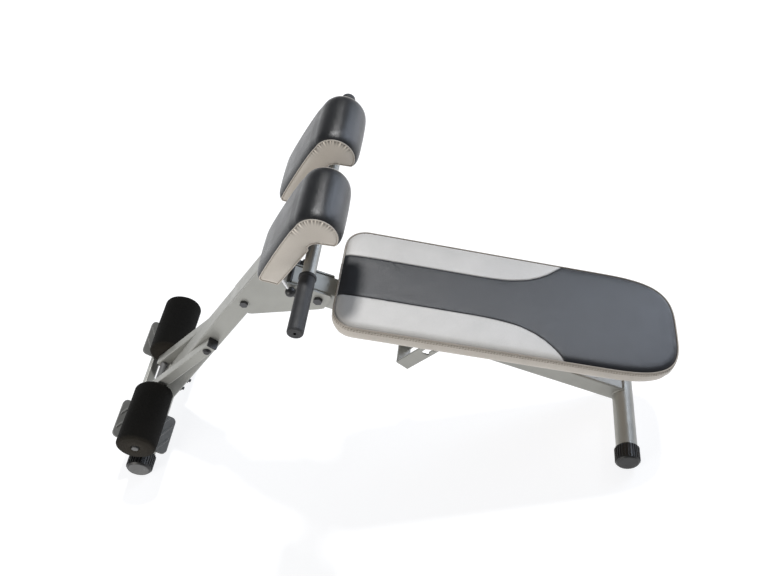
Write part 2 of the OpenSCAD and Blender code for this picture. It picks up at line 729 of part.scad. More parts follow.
front_stabilizer();
front_cap_near();
front_cap_far();
post();
post_bush();
gusset_near();
gusset_far();
gusset_bolts();
fold_pivot_bolt();
arm_pivot_bolt();
footrest_bracket();
footrest_bolts();
foot_plate_near();
foot_plate_far();
foot_plate_screws();
arm_near();
arm_far();
arm_plugs();
roller_axle();
roller_near();
roller_far();
inner_tube();
inner_tube_plug();
handle_bar();
grip_near();
grip_far();
pad_rails();
thigh_board_near();
thigh_board_far();
thigh_pad_near();
thigh_pad_far();
clamp_lever();
lever_ball();
long_tube();
long_tube_plug();
rear_stabilizer();
rear_cap_near();
rear_cap_far();
backrest_pivot_bolt();
prop_pin();
fold_knob();
bench_board();
bench_pad();
hinge_brackets();
prop_channel();
prop_top_pin();
prop_bracket();
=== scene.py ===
import json
import math

import bmesh
import bpy
import numpy as np
from mathutils import Matrix, Vector
from mathutils.geometry import delaunay_2d_cdt


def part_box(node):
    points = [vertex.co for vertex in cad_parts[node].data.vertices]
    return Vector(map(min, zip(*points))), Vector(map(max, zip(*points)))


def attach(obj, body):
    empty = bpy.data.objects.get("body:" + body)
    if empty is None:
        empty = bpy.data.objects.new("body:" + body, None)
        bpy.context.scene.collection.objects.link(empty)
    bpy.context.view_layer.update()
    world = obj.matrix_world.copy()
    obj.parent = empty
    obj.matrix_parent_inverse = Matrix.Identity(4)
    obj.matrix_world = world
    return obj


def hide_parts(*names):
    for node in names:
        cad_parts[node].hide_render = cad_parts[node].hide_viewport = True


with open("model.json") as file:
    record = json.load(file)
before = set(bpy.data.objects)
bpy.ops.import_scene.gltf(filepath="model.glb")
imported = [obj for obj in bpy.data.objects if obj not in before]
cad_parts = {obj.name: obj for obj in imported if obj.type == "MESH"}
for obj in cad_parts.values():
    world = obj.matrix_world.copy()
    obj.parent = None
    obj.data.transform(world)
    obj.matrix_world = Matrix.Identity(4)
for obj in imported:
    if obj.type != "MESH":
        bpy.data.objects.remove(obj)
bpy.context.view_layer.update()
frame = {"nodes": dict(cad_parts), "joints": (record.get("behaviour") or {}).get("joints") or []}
joints = {j["name"]: j for j in frame["joints"]}
nodes = frame["nodes"]
scene = bpy.context.scene


# ---------------------------------------------------------------- frames
def tilted(origin, angle):
    """Local frame turned down from +X by angle degrees: x along, y across, z square to it."""
    a = math.radians(angle)
    m = Matrix(((math.cos(a), 0, math.sin(a)), (0, 1, 0), (-math.sin(a), 0, math.cos(a))))
    return Matrix.Translation(Vector(origin)) @ m.to_4x4()


POST_SLOPE = 50.5
TUBE_SLOPE = 29.9
PAD_SLOPE = 16.4
PIVOT_S = 0.3065       # the carriage's pivot, along the post from its foot
BOARD_INSET = 0.012    # the board's end, inside the cushion's end
BOARD_RISE = 0.010     # the board's top, above the cushion's lower edge

# along the post from its foot, along the long tube from the fold pivot, along the cushion from its high end
pivot = Vector(joints["carriage_swing"]["pos_m"])
post_turn = math.radians(POST_SLOPE)
post_frame = tilted(pivot - PIVOT_S * Vector((math.cos(post_turn), 0, math.sin(post_turn))), -POST_SLOPE)
fold_pos = Vector(joints["fold"]["pos_m"])
tube_frame = tilted((fold_pos.x, 0, fold_pos.z), TUBE_SLOPE)
board_lo, board_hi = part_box("bench_board")
pad_turn = math.radians(PAD_SLOPE)
pad_end_x = board_lo.x - BOARD_INSET * math.cos(pad_turn)
pad_end_z = board_hi.z + BOARD_INSET * math.sin(pad_turn) - BOARD_RISE * math.cos(pad_turn)
pad_frame = tilted((pad_end_x, 0, pad_end_z), PAD_SLOPE)


# ---------------------------------------------------------------- materials
def new_mat(name):
    m = bpy.data.materials.new(name)
    m.use_nodes = True
    nt = m.node_tree
    bsdf = nt.nodes["Principled BSDF"]
    return m, nt, bsdf


class Net:
    """Small helper that adds nodes and links by name."""

    def __init__(self, nt):
        self.nt = nt
        tc = nt.nodes.new("ShaderNodeTexCoord")
        self.pos = tc.outputs["Object"]

    def node(self, kind, **values):
        n = self.nt.nodes.new(kind)
        for k, v in values.items():
            setattr(n, k, v)
        return n

    def put(self, socket, v):
        if isinstance(v, bpy.types.NodeSocket):
            self.nt.links.new(v, socket)
        else:
            socket.default_value = v

    def noise(self, scale, detail=4, rough=0.55, vector=None):
        n = self.node("ShaderNodeTexNoise")
        self.put(n.inputs["Vector"], vector or self.pos)
        n.inputs["Scale"].default_value = scale
        n.inputs["Detail"].default_value = detail
        n.inputs["Roughness"].default_value = rough
        return n.outputs["Fac"]

    def voronoi(self, scale, feature="F1"):
        n = self.node("ShaderNodeTexVoronoi", feature=feature)
        self.put(n.inputs["Vector"], self.pos)
        n.inputs["Scale"].default_value = scale
        return n.outputs["Distance"]

    def mapping(self, scale):
        n = self.node("ShaderNodeMapping")
        self.put(n.inputs["Vector"], self.pos)
        n.inputs["Scale"].default_value = scale
        return n.outputs["Vector"]

    def math(self, op, a, b=0.0):
        n = self.node("ShaderNodeMath", operation=op)
        self.put(n.inputs[0], a)
        self.put(n.inputs[1], b)
        return n.outputs[0]

    def ramp(self, fac, lo, hi, out_lo=0.0, out_hi=1.0, smooth=False):
        n = self.node("ShaderNodeMapRange")
        n.interpolation_type = "SMOOTHSTEP" if smooth else "LINEAR"
        self.put(n.inputs["Value"], fac)
        n.inputs["From Min"].default_value = lo
        n.inputs["From Max"].default_value = hi
        n.inputs["To Min"].default_value = out_lo
        n.inputs["To Max"].default_value = out_hi
        return n.outputs["Result"]

    def mix(self, fac, a, b):
        n = self.node("ShaderNodeMix", data_type="RGBA")
        self.put(n.inputs["Factor"], fac)
        self.put(n.inputs[6], a if isinstance(a, bpy.types.NodeSocket) else (*a, 1))
        self.put(n.inputs[7], b if isinstance(b, bpy.types.NodeSocket) else (*b, 1))
        return n.outputs[2]

    def attr(self, name):
        n = self.node("ShaderNodeAttribute", attribute_name=name)
        return n.outputs["Fac"]

    def bump(self, height, distance, strength=1.0, normal=None):
        n = self.node("ShaderNodeBump")
        n.inputs["Strength"].default_value = strength
        n.inputs["Distance"].default_value = distance
        self.put(n.inputs["Height"], height)
        if normal is not None:
            self.put(n.inputs["Normal"], normal)
        return n.outputs["Normal"]

    def soft_edge(self, radius):
        n = self.node("ShaderNodeBevel", samples=4)
        n.inputs["Radius"].default_value = radius
        return n.outputs["Normal"]

    def flatness(self, soft):
        """1 on flat faces, less at an edge, where the softened normal leaves the face's own."""
        dot = self.node("ShaderNodeVectorMath", operation="DOT_PRODUCT")
        self.put(dot.inputs[0], soft)
        self.put(dot.inputs[1], self.node("ShaderNodeNewGeometry").outputs["Normal"])
        return dot.outputs["Value"]


def shade(base, k, add=0.0):
    """The colour times k, plus add."""
    return tuple(min(1, c * k + add) for c in base)


def paint_mat(name, base, metallic=0.35, rough=(0.34, 0.46), wear=0.35, peel=0.00012):
    """Sprayed paint with fine bright specks, a slight orange peel, and patches of wear on its edges."""
    m, nt, b = new_mat(name)
    n = Net(nt)
    col = n.mix(n.ramp(n.noise(9, 3), 0.35, 0.65), shade(base, 0.93), shade(base, 1.06))
    col = n.mix(n.ramp(n.noise(900, 2, 0.6), 0.62, 0.72, 0, 0.35), col, shade(base, 1.35))
    soft = n.soft_edge(0.0011)
    edge = n.ramp(n.flatness(soft), 0.995, 0.86)
    edge = n.math("MULTIPLY", edge, n.ramp(n.noise(60, 5), 0.42, 0.68, 0, wear))
    n.put(b.inputs["Base Color"], n.mix(edge, col, shade(base, 1.7, 0.05)))
    b.inputs["Metallic"].default_value = metallic
    n.put(b.inputs["Roughness"], n.ramp(n.noise(35, 4), 0.3, 0.7, rough[0], rough[1]))
    n.put(b.inputs["Normal"], n.bump(n.noise(420, 2, 0.5), peel, 0.5, soft))
    return m


def plastic_mat(name, base, rough=(0.42, 0.56), grain=700, depth=0.00012, edge=0.0008, scuff=0.25, edge_highlight=0.0):
    """Rubber or plastic with a fine grain and scuffs, and a painted highlight of the given strength along its
    edges and ridges.
    """
    m, nt, b = new_mat(name)
    n = Net(nt)
    col = n.mix(n.ramp(n.noise(14, 4), 0.3, 0.7), shade(base, 0.85), shade(base, 1.15))
    scratch = n.noise(1, 6, 0.7, n.mapping((60, 260, 60)))
    col = n.mix(n.ramp(scratch, 0.62, 0.75, 0, scuff), col, shade(base, 2.2, 0.01))
    soft = n.soft_edge(edge)
    if edge_highlight:
        # painted highlight: edges and ridges drawn lighter, where the softened normal leaves the face's own
        col = n.mix(n.ramp(n.flatness(soft), 0.998, 0.90, 0, edge_highlight), col, shade(base, 3.2, 0.02))
    n.put(b.inputs["Base Color"], col)
    n.put(b.inputs["Roughness"], n.ramp(n.noise(50, 4), 0.3, 0.7, rough[0], rough[1]))
    n.put(b.inputs["Normal"], n.bump(n.voronoi(grain), depth, 0.5, soft))
    return m


GRAIN_SCALE = 620
GRAIN_DEPTH = 0.00016


def leather_grain(n):
    """Height of an embossed leather grain: raised cells with a finer noise on them."""
    cells = n.ramp(n.voronoi(GRAIN_SCALE, "DISTANCE_TO_EDGE"), 0.0, 0.28)
    fine = n.noise(GRAIN_SCALE * 2.1, 3, 0.6)
    return n.math("ADD", n.math("MULTIPLY", cells, 0.75), n.math("MULTIPLY", fine, 0.35))


def vinyl_mat(name, base, rough=(0.34, 0.46), vary=0.08, broad=0.0012):
    """Grained vinyl. The pucker attribute dulls the furrows and paints shade into them, and paints a
    highlight on the gathered ridges.
    """
    m, nt, b = new_mat(name)
    n = Net(nt)
    col = n.mix(n.ramp(n.noise(11, 4), 0.3, 0.7), shade(base, 1 - vary), shade(base, 1 + vary))
    height = leather_grain(n)
    col = n.mix(n.ramp(height, 0.45, 0.1, 0, 0.25), col, shade(base, 0.6))
    fold = n.attr("pucker")
    # painted shade where the pucker attribute is below zero, painted highlight where it is above
    col = n.mix(n.ramp(fold, -0.04, -0.75, 0, 0.62), col, shade(base, 0.18))
    col = n.mix(n.ramp(fold, 0.05, 0.7, 0, 0.8), col, shade(base, 1.9))
    n.put(b.inputs["Base Color"], col)
    dull = n.ramp(fold, -0.05, -0.6, 0, 0.4)
    n.put(b.inputs["Roughness"], n.math("ADD", n.ramp(n.noise(28, 4), 0.3, 0.7, rough[0], rough[1]), dull))
    wide = n.bump(n.noise(16, 3, 0.5), broad, 0.6)
    n.put(b.inputs["Normal"], n.bump(height, GRAIN_DEPTH, 0.7, wide))
    return m


def foam_mat():
    """Open black foam, rubbed brownish on its cut ends, which the end attribute marks."""
    m, nt, b = new_mat("foam_black")
    n = Net(nt)
    pores = n.voronoi(620)
    pits = n.noise(330, 5, 0.7)
    col = n.mix(n.ramp(pits, 0.35, 0.7), (0.0016, 0.0015, 0.0013), (0.0058, 0.0054, 0.0046))
    col = n.mix(n.ramp(n.noise(6, 3), 0.45, 0.75, 0, 0.5), col, (0.0075, 0.0068, 0.0055))
    cut_end = n.mix(n.ramp(pits, 0.3, 0.7), (0.022, 0.019, 0.0150), (0.040, 0.035, 0.028))
    n.put(b.inputs["Base Color"], n.mix(n.attr("end"), col, cut_end))
    b.inputs["Roughness"].default_value = 0.92
    b.inputs["Specular IOR Level"].default_value = 0.08
    b.inputs["Sheen Weight"].default_value = 0.02
    b.inputs["Sheen Roughness"].default_value = 0.6
    h = n.math("ADD", n.math("MULTIPLY", pores, 0.6), n.math("MULTIPLY", pits, 0.7))
    wide = n.bump(n.noise(45, 3), 0.0012, 0.5)
    n.put(b.inputs["Normal"], n.bump(h, 0.0007, 0.8, wide))
    return m


def metal_mat(name, base, rough=(0.2, 0.34), stretch=(40, 900, 40), metallic=1.0):
    """Steel with drawn lines; stretch is how fine they are along each axis."""
    m, nt, b = new_mat(name)
    n = Net(nt)
    lines = n.noise(1, 4, 0.6, n.mapping(stretch))
    n.put(b.inputs["Base Color"], n.mix(n.ramp(lines, 0.35, 0.7), shade(base, 0.85), base))
    b.inputs["Metallic"].default_value = metallic
    n.put(b.inputs["Roughness"], n.ramp(lines, 0.3, 0.7, rough[0], rough[1]))
    n.put(b.inputs["Normal"], n.bump(lines, 0.00006, 0.4, n.soft_edge(0.0006)))
    return m


def wood_mat():
    m, nt, b = new_mat("plywood")
    n = Net(nt)
    grain = n.noise(1, 6, 0.6, n.mapping((12, 140, 60)))
    ring = n.noise(1, 3, 0.5, n.mapping((3, 22, 22)))
    col = n.mix(n.ramp(grain, 0.3, 0.7), (0.33, 0.215, 0.115), (0.52, 0.385, 0.235))
    col = n.mix(n.ramp(ring, 0.4, 0.65, 0, 0.5), col, (0.27, 0.165, 0.085))
    n.put(b.inputs["Base Color"], col)
    n.put(b.inputs["Roughness"], n.ramp(grain, 0.3, 0.7, 0.6, 0.8))
    n.put(b.inputs["Normal"], n.bump(grain, 0.0004, 0.6))
    return m


def thread_mat(name, base):
    m, nt, b = new_mat(name)
    n = Net(nt)
    twist = n.noise(1, 2, 0.5, n.mapping((2600, 1500, 1500)))
    n.put(b.inputs["Base Color"], n.mix(n.ramp(twist, 0.35, 0.65), shade(base, 0.7), base))
    b.inputs["Roughness"].default_value = 0.75
    n.put(b.inputs["Normal"], n.bump(twist, 0.0003, 0.6))
    return m


LIGHT_VINYL = (0.475, 0.46, 0.44)
BOX_VINYL = (0.475, 0.435, 0.385)
STRIPE = (0.006, 0.0068, 0.0095)

m_paint = paint_mat("frame_paint", (0.335, 0.335, 0.312))
m_cap = plastic_mat("cap_rubber", (0.011, 0.011, 0.011), rough=(0.34, 0.46), grain=500, scuff=0.12)
# front caps' end discs: the same black rubber as the rear ones, drawn light grey as a painted highlight where
# they catch the light
m_cap_face_lit = plastic_mat("cap_face", (0.11, 0.11, 0.108), rough=(0.4, 0.5), grain=900, scuff=0.4)
# the foot plates get a painted highlight along the edges of their ridges
m_plate = plastic_mat("plate_plastic", (0.15, 0.15, 0.143), rough=(0.62, 0.74), grain=1100, edge=0.0012,
                      scuff=0.35, edge_highlight=0.8)
m_grip = plastic_mat("grip_rubber", (0.014, 0.0145, 0.0165), rough=(0.52, 0.64), grain=1300, depth=0.0003)
m_black = plastic_mat("black_plastic", (0.016, 0.016, 0.017), rough=(0.34, 0.46))
m_foam = foam_mat()
m_dark = metal_mat("dark_steel", (0.10, 0.10, 0.105), rough=(0.34, 0.48))
# painted shade: the pads' hinge brackets and the prop's channel sit in the pads' shadow, so they are drawn
# near black instead of the frame's grey
m_bracket_shade = paint_mat("bracket_painted_shade", (0.055, 0.056, 0.058), metallic=0.2, wear=0.2)
m_axle = metal_mat("axle_steel", (0.15, 0.15, 0.15), rough=(0.60, 0.70), stretch=(300, 60, 300),
                   metallic=0.2)
m_cap_back = plastic_mat("rear_cap_face", (0.018, 0.018, 0.018), rough=(0.5, 0.6), grain=900, scuff=0.15)
m_bright = metal_mat("bright_steel", (0.72, 0.72, 0.73))
m_wood = wood_mat()
m_black_vinyl = vinyl_mat("black_vinyl", (0.009, 0.0095, 0.011), rough=(0.27, 0.36), broad=0.0008)
m_side_vinyl = vinyl_mat("side_vinyl", BOX_VINYL)
m_piping = vinyl_mat("piping_vinyl", (0.30, 0.265, 0.225))
m_thread_light = thread_mat("thread_light", (0.27, 0.225, 0.175))
m_thread_dark = thread_mat("thread_dark", (0.05, 0.05, 0.055))
m_staple = metal_mat("staple_wire", (0.6, 0.6, 0.6))


def bench_vinyl_mat():
    """Top panel in two colours with a sewn seam between them, and a plain boxing strip."""
    m, nt, b = new_mat("bench_vinyl")
    n = Net(nt)
    seam = n.attr("seam_mm")
    top = n.attr("top")
    height = leather_grain(n)
    light = n.mix(n.ramp(n.noise(12, 5), 0.32, 0.68), shade(LIGHT_VINYL, 0.93), shade(LIGHT_VINYL, 1.06))
    dark = n.mix(n.ramp(n.noise(12, 5), 0.32, 0.68), shade(STRIPE, 0.88), shade(STRIPE, 1.14))
    boxing = n.mix(n.ramp(n.noise(20, 4), 0.32, 0.68), shade(BOX_VINYL, 0.93), shade(BOX_VINYL, 1.05))
    panel = n.mix(n.ramp(seam, -0.25, 0.25), dark, light)
    line = n.ramp(n.math("ABSOLUTE", seam), 0.3, 1.3, 1, 0, smooth=True)
    panel = n.mix(n.math("MULTIPLY", line, 0.55), panel, (0.10, 0.10, 0.10))
    col = n.mix(top, boxing, panel)
    col = n.mix(n.ramp(height, 0.42, 0.1, 0, 0.22), col, (0.04, 0.04, 0.04))
    n.put(b.inputs["Base Color"], col)
    n.put(b.inputs["Roughness"], n.ramp(n.noise(30, 4), 0.3, 0.7, 0.36, 0.42))
    groove = n.ramp(n.math("ABSOLUTE", seam), 0.0, 3.2, 0, 1, smooth=True)
    groove = n.math("MAXIMUM", groove, n.math("SUBTRACT", 1.0, top))
    wide = n.bump(n.noise(14, 3, 0.5), 0.0014, 0.6)
    cut = n.bump(groove, 0.0022, 0.9, wide)
    n.put(b.inputs["Normal"], n.bump(height, GRAIN_DEPTH, 0.7, cut))
    return m


m_bench = bench_vinyl_mat()


def assign(name, mat):
    o = nodes[name]
    if not o.material_slots:
        o.data.materials.append(mat)
    for s in o.material_slots:
        s.link = "OBJECT"
        s.material = mat


for group, mat in (
    ("front_stabilizer rear_stabilizer post gusset_near gusset_far footrest_bracket arm_near arm_far "
     "inner_tube handle_bar pad_rails long_tube prop_bracket", m_paint),
    ("front_cap_near front_cap_far rear_cap_near rear_cap_far", m_cap),
    ("grip_near grip_far", m_grip),
    ("roller_near roller_far", m_foam),
    ("foot_plate_near foot_plate_far", m_plate),
    ("post_bush arm_plugs inner_tube_plug long_tube_plug lever_ball fold_knob arm_pivot_bolt", m_black),
    ("gusset_bolts fold_pivot_bolt footrest_bolts foot_plate_screws backrest_pivot_bolt", m_dark),
    ("hinge_brackets prop_channel", m_bracket_shade),
    ("roller_axle", m_axle),
    ("clamp_lever prop_pin prop_top_pin", m_bright),
    ("thigh_board_near thigh_board_far bench_board", m_wood),
):
    for node_name in group.split():
        assign(node_name, mat)


# ---------------------------------------------------------------- mesh helpers
def make(name, verts, faces, matrix=None, mats=(), smooth=True, attrs=None, face_mats=None):
    me = bpy.data.meshes.new(name)
    me.from_pydata([tuple(v) for v in verts], [], faces)
    for m in mats:
        me.materials.append(m)
    if face_mats is not None:
        me.polygons.foreach_set("material_index", face_mats)
    if smooth:
        me.polygons.foreach_set("use_smooth", [True] * len(me.polygons))
    for key, values in (attrs or {}).items():
        at = me.attributes.new(key, "FLOAT", "POINT")
        at.data.foreach_set("value", np.asarray(values, np.float32))
    me.update()
    o = bpy.data.objects.new(name, me)
    scene.collection.objects.link(o)
    if matrix is not None:
        o.matrix_world = matrix
    return o


def mend(o, merge=None, where=None):
    """Merge points closer than merge, all or those that where picks, and turn the normals outward."""
    bm = bmesh.new()
    bm.from_mesh(o.data)
    if merge:
        verts = [v for v in bm.verts if where is None or where(v.co)]
        bmesh.ops.remove_doubles(bm, verts=verts, dist=merge)
    bmesh.ops.recalc_face_normals(bm, faces=bm.faces)
    bm.to_mesh(o.data)
    bm.free()


def trim(name, mesh, matrix, mat, body):
    """A small fixed piece, such as a thread, a weld or a piping, that rides on a body."""
    o = make(name, *mesh, matrix, [mat])
    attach(o, body)


def grid_faces(rows, cols):
    """Quads between rows of points, each row a closed ring."""
    f = []
    for r in range(rows - 1):
        for c in range(cols):
            d = (c + 1) % cols
            f.append((r * cols + c, r * cols + d, (r + 1) * cols + d, (r + 1) * cols + c))
    return f


def resample(points, count, closed=True):
    """Points spaced evenly by length along a polyline in the plane or in space."""
    p = np.asarray(points, float)
    if closed:
        p = np.vstack([p, p[:1]])
    seg = np.linalg.norm(np.diff(p, axis=0), axis=1)
    keep = np.concatenate([[True], seg > 1e-9])
    p = p[keep]
    seg = np.linalg.norm(np.diff(p, axis=0), axis=1)
    s = np.concatenate([[0], np.cumsum(seg)])
    t = np.linspace(0, s[-1], count + 1)[:-1] if closed else np.linspace(0, s[-1], count)
    return np.stack([np.interp(t, s, p[:, k]) for k in range(p.shape[1])], 1), s[-1]


def smooth_loop(p, rounds=2, weight=0.5):
    for _ in range(rounds):
        p = (1 - weight) * p + weight * 0.5 * (np.roll(p, 1, 0) + np.roll(p, -1, 0))
    return p


def out_normals(p):
    """Outward normals of a closed loop in the plane that runs anticlockwise."""
    t = np.roll(p, -1, 0) - np.roll(p, 1, 0)
    t /= np.linalg.norm(t, axis=1)[:, None]
    return np.stack([t[:, 1], -t[:, 0]], 1)


def anticlockwise(p):
    x, y = p[:, 0], p[:, 1]
    area = 0.5 * np.sum(x * np.roll(y, -1) - np.roll(x, -1) * y)
    return p if area > 0 else p[::-1]


def sweep(points, radius, closed=False, sides=10, up=None):
    """Tube along points. radius is a number or one per point; up is the way its rings are turned."""
    p = np.asarray(points, float)
    n = len(p)
    if closed:
        t = np.roll(p, -1, 0) - np.roll(p, 1, 0)
    else:
        t = np.gradient(p, axis=0)
    t /= np.linalg.norm(t, axis=1)[:, None]
    r = np.full(n, radius) if np.isscalar(radius) else np.asarray(radius, float)
    if up is None:
        ref = np.array([0, 0, 1.0])
        if abs(t[0] @ ref) > 0.9:
            ref = np.array([0, 1.0, 0])
        ups = []
        u = ref - t[0] * (ref @ t[0])
        for k in range(n):
            u = u - t[k] * (u @ t[k])
            u /= np.linalg.norm(u)
            ups.append(u)
        ups = np.array(ups)
    else:
        ups = np.asarray(up, float)
        if ups.ndim == 1:
            ups = np.tile(ups, (n, 1))
        ups = ups - t * np.sum(ups * t, 1)[:, None]
        ups /= np.linalg.norm(ups, axis=1)[:, None]
    side = np.cross(t, ups)
    ang = np.linspace(0, 2 * math.pi, sides, endpoint=False)
    v = (p[:, None, :] + r[:, None, None] * (np.cos(ang)[None, :, None] * side[:, None, :]
         + np.sin(ang)[None, :, None] * ups[:, None, :])).reshape(-1, 3)
    f = []
    for k in range(n if closed else n - 1):
        k2 = (k + 1) % n
        for c in range(sides):
            d = (c + 1) % sides
            f.append((k * sides + c, k * sides + d, k2 * sides + d, k2 * sides + c))
    if not closed:
        f.append(tuple(range(sides))[::-1])
        f.append(tuple((n - 1) * sides + c for c in range(sides)))
    return v, f


def join(parts):
    verts, faces, off = [], [], 0
    for v, f in parts:
        verts.append(np.asarray(v, float))
        faces += [tuple(i + off for i in q) for q in f]
        off += len(v)
    return np.vstack(verts), faces


def stitches(path, normals, length, gap, radius, lift, closed=True):
    """Short sunk threads along a path, each bowed up a little in the middle."""
    q = np.vstack([path, path[:1]]) if closed else path
    nn = np.vstack([normals, normals[:1]]) if closed else normals
    steps = np.linalg.norm(np.diff(q, axis=0), axis=1)
    total = np.sum(steps)
    s = np.concatenate([[0], np.cumsum(steps)])
    count = int(total / (length + gap))
    parts = []
    for k in range(count):
        t0 = (k + 0.15) * total / count
        ts = t0 + np.linspace(0, 1, 5) * length
        ts = np.clip(ts, 0, total - 1e-9)
        c = np.stack([np.interp(ts, s, q[:, j]) for j in range(3)], 1)
        up = np.stack([np.interp(ts, s, nn[:, j]) for j in range(3)], 1)
        up /= np.linalg.norm(up, axis=1)[:, None]
        bow = np.array([-0.9, 0.25, 0.6, 0.25, -0.9])[:, None] * lift
        parts.append(sweep(c + up * bow, radius * np.array([0.75, 1, 1.05, 1, 0.75]), sides=6, up=up))
    return join(parts)


# ---------------------------------------------------------------- bench cushion
PAD_LEN = 0.775
HALF_W = 0.139
FLARE = 0.0008         # how much wider the pad is where its head begins
FLARE_P = 0.3
WIDE_P = 0.576         # where the head begins
HEAD_POWER = 3.5       # exponent of the superellipse of the head: 2 would be an ellipse
CORNER = 0.048


def half_w(p):
    return HALF_W + (FLARE * ((p - FLARE_P) / (WIDE_P - FLARE_P)) ** 2 if p > FLARE_P else 0)


def pad_outline():
    """Plan of the cushion, square at its high end and rounded at its head."""
    up = []
    for k in range(13):
        t = math.radians(180 - 90 * k / 12)
        up.append((CORNER + CORNER * math.cos(t), HALF_W - CORNER + CORNER * math.sin(t)))
    for p in np.linspace(0.07, WIDE_P - 0.01, 60):
        up.append((p, half_w(p)))
    e, v = PAD_LEN - WIDE_P, half_w(WIDE_P)
    for k in range(49):
        u = math.sin(math.radians(90 * k / 48)) ** 0.9
        up.append((WIDE_P + e * u, v * max(0.0, 1 - u ** HEAD_POWER) ** (1 / HEAD_POWER)))
    down = [(x, -y) for x, y in reversed(up[:-1]) if y > 1e-9]
    return np.array(up + down)


STRIPE_HALF = 0.057
SWEEP_START, SWEEP_END = 0.30, 0.508


def stripe_half(p):
    """Half width of the dark centre panel at p along the pad: straight, then swept out past the edge."""
    if p <= SWEEP_START:
        return STRIPE_HALF
    u = min(1.0, (p - SWEEP_START) / (SWEEP_END - SWEEP_START))
    return STRIPE_HALF + 0.006 * u + (HALF_W - STRIPE_HALF) * u ** 3.3


loop, perimeter = resample(anticlockwise(pad_outline()), 560)
loop = smooth_loop(loop, 3)
nrm = out_normals(loop)
spine = np.stack([np.clip(loop[:, 0], HALF_W, PAD_LEN - 0.150), np.zeros(len(loop))], 1)
reach = np.linalg.norm(loop - spine, axis=1)
inward = (spine - loop) / reach[:, None]

# the stripe's edge as points, to measure the distance to it
curve = np.array([(p, stripe_half(p)) for p in np.linspace(-0.03, 0.505, 420)] + [(0.509, 0.160)])


def signed_seam(x, y):
    """Distance in mm to the seam of the centre panel: negative on the dark side."""
    q = np.stack([x, np.abs(y)], 1)
    d = np.full(len(q), 1e9)
    a0, b0 = curve[:-1], curve[1:]
    ab = b0 - a0
    for k in range(len(ab)):
        t = np.clip(((q - a0[k]) @ ab[k]) / (ab[k] @ ab[k]), 0, 1)
        d = np.minimum(d, np.linalg.norm(q - (a0[k] + t[:, None] * ab[k]), axis=1))
    inside = np.abs(y) < np.array([stripe_half(v) for v in x])
    inside |= x > 0.506
    return np.where(inside, -d, d) * 1000


SEAM_Q = 0.0385        # height of the top seam
ROLL_RISE = 0.0062     # the top rolls up this far next to the seam
CROWN = 0.0032         # and crowns this much more towards the middle
side_rings = [  # (outward offset, height)
    (-0.024, -0.0002), (-0.0235, -0.0004), (-0.014, -0.0004), (-0.0094, -0.0002), (-0.0072, 0.0005),
    (-0.0054, 0.0020), (-0.0036, 0.0044), (-0.0016, 0.0082), (0.0, 0.0130), (0.0009, 0.0195), (0.0009, 0.026),
    (0.0003, 0.032), (-0.0008, 0.0362), (-0.0020, 0.0378), (-0.0032, 0.0382)]
arc_len = np.arange(len(loop)) / len(loop) * perimeter
rng = np.random.default_rng(7)
wave_lengths = (0.013, 0.019, 0.031, 0.047)
phase = rng.uniform(0, 6.28, len(wave_lengths))
corner = np.exp(-((loop[:, 0] - 0.012) / 0.03) ** 2) + np.exp(-((loop[:, 0] - PAD_LEN + 0.02) / 0.05) ** 2)
ripple = np.zeros(len(loop))
for k, wl in enumerate(wave_lengths):
    ripple += np.sin(2 * math.pi * arc_len / wl + phase[k]) * (0.3 + 0.2 * k)


def crowned(d):
    """Height of the top at a distance d in from the outline."""
    roll = 1 - np.exp(-(np.maximum(d, 0.003) - 0.0030) / 0.0052)
    return SEAM_Q - 0.0006 + ROLL_RISE * roll + CROWN * (1 - np.exp(-d / 0.045))


rows, tops = [], []
for off, q in side_rings:
    pull = 0.00035 * ripple * (0.25 + 0.9 * corner) * math.sin(math.pi * min(max(q, 0) / SEAM_Q, 1))
    xy = loop + nrm * (off + pull)[:, None] if off >= -0.004 else loop - nrm * (-off)
    rows.append(np.column_stack([xy, np.full(len(loop), q)]))
    tops.append(0)
# rings of the top, by their distance in from the outline
top_d = [0.0034, 0.0040, 0.0055, 0.008, 0.0115, 0.016, 0.022, 0.030, 0.040, 0.052, 0.065,
         0.078, 0.091, 0.104, 0.117, 0.128]
for d in top_d:
    q = crowned(d)
    t = np.minimum(d / reach, 0.985)[:, None]
    xy = loop * (1 - t) + spine * t if d > 0.02 else loop + (inward * (d / 0.02) - nrm * (1 - d / 0.02)) * d
    z = q + 0.00018 * ripple * math.exp(-d / 0.012) * (0.4 + corner)
    rows.append(np.column_stack([xy, z]))
    tops.append(1)
# last row sits on the spine itself
rows.append(np.column_stack([spine, np.full(len(loop), crowned(HALF_W))]))
tops.append(1)
V = np.vstack(rows)
top_attr = np.repeat(tops, len(loop))
seam_attr = signed_seam(V[:, 0], V[:, 1])
# settle the panel seam into the surface a little
V[:, 2] -= np.where(top_attr > 0, 0.0009 * np.exp(-(seam_attr / 4.0) ** 2), 0)
cushion = make("bench_cushion", V, grid_faces(len(rows), len(loop)), pad_frame, [m_bench],
               attrs={"seam_mm": seam_attr, "top": top_attr})
mend(cushion, merge=1e-5, where=lambda co: abs(co.y) < 1e-6 and co.z > 0.03)
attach(cushion, "backrest")
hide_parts("bench_pad")

# piping round the top seam
pipe = np.column_stack([loop - nrm * 0.0016, np.full(len(loop), SEAM_Q + 0.0004)])
trim("bench_piping", sweep(pipe, 0.0017, closed=True, up=(0, 0, 1)), pad_frame, m_piping, "backrest")

# two rows of stitches below the seam
parts = []
for off, q, up_z in ((-0.0002, SEAM_Q - 0.0034, 0.2), (0.0004, SEAM_Q - 0.0072, 0.1)):
    path = np.column_stack([loop + nrm * off, np.full(len(loop), q)])
    up = np.column_stack([nrm, np.full(len(loop), up_z)])
    parts.append(stitches(path, up, 0.0046, 0.0016, 0.00062, 0.00035))
trim("bench_stitches", join(parts), pad_frame, m_thread_light, "backrest")

